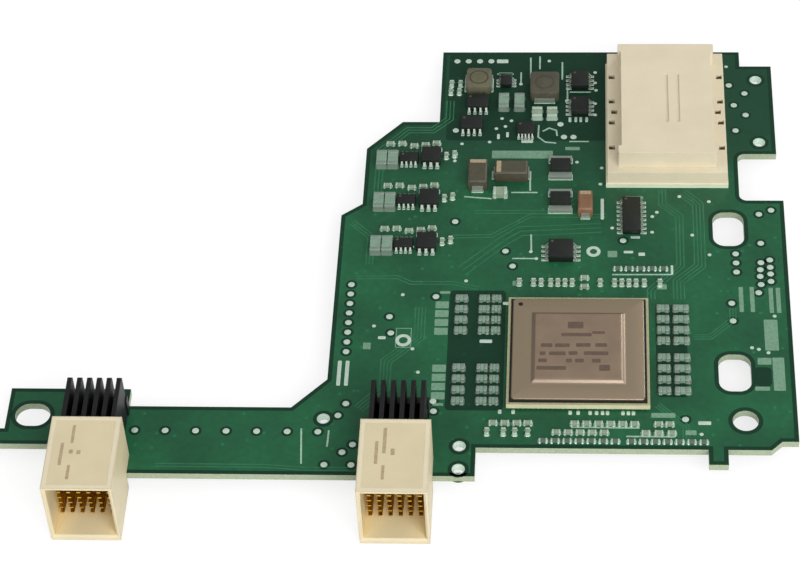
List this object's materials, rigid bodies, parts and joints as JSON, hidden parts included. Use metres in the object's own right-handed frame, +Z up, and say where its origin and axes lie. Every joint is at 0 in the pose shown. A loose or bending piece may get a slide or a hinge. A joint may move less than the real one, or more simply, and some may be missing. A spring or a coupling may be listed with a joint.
{
  "type": "mezzanine network card",
  "caption": "Stepped green circuit board whose arm carries open-mouthed backplane headers, with a lidded network controller, power parts and a covered board connector.",
  "frame": {"origin": "centre of the round mounting hole, on the underside of the circuit board", "axes": "+X right along the front edge, away from the arm; +Y to the back, towards the board connector; +Z up, out of the side that carries the parts"},
  "size_m": [0.1654, 0.1361, 0.0164],
  "materials": {
    "solder_mask": "satin green lacquer over copper",
    "solder": "bright tin",
    "package_substrate": "satin laminate",
    "nickel_lid": "satin nickel",
    "connector_moulding": "smooth moulded",
    "header_moulding": "smooth moulded",
    "wafer_moulding": "moulded",
    "contact_gold": "gold flash",
    "package_moulding": "fine spark texture",
    "tinned_lead": "tinned",
    "tinned_terminal": "tinned",
    "ferrite": "pressed powder",
    "tantalum_moulding": "moulded",
    "capacitor_ceramic": "fired, matt",
    "resistor_film": "glazed black film"
  },
  "bodies": {
    "root": {"bank_capacitor_bodies": "capacitor_ceramic", "bank_capacitor_terminals": "tinned_terminal", "circuit_board": "solder_mask", "controller_lid": "nickel_lid", "controller_solder_balls": "solder", "controller_substrate": "package_substrate", "driver_ic_body": "package_moulding", "driver_ic_leads": "tinned_lead", "eight_lead_ic_bodies": "package_moulding", "eight_lead_ic_leads": "tinned_lead", "flash_memory_body": "package_moulding", "flash_memory_leads": "tinned_lead", "large_capacitor_bodies": "capacitor_ceramic", "large_capacitor_terminals": "tinned_terminal", "left_header_blades": "contact_gold", "left_header_organiser": "wafer_moulding", "left_header_shroud": "header_moulding", "left_header_tails": "solder", "left_header_wafers": "wafer_moulding", "medium_capacitor_bodies": "capacitor_ceramic", "medium_capacitor_terminals": "tinned_terminal", "mezzanine_base": "connector_moulding", "mezzanine_contact_wafers": "wafer_moulding", "mezzanine_cover": "connector_moulding", "monitor_ic_body": "package_moulding", "monitor_ic_leads": "tinned_lead", "polymer_capacitor_bodies": "package_moulding", "polymer_capacitor_terminals": "tinned_terminal", "power_inductor_bodies": "ferrite", "power_inductor_clips": "tinned_lead", "power_transistor_bodies": "package_moulding", "power_transistor_leads": "tinned_lead", "regulator_ic_body": "package_moulding", "regulator_ic_leads": "tinned_lead", "resistor_bodies": "resistor_film", "resistor_terminals": "tinned_terminal", "right_header_blades": "contact_gold", "right_header_organiser": "wafer_moulding", "right_header_shroud": "header_moulding", "right_header_tails": "solder", "right_header_wafers": "wafer_moulding", "small_capacitor_bodies": "capacitor_ceramic", "small_capacitor_terminals": "tinned_terminal", "switch_ic_body": "package_moulding", "switch_ic_leads": "tinned_lead", "tantalum_capacitor_bodies": "tantalum_moulding", "tantalum_capacitor_terminals": "tinned_terminal"}
  },
  "joints": []
}
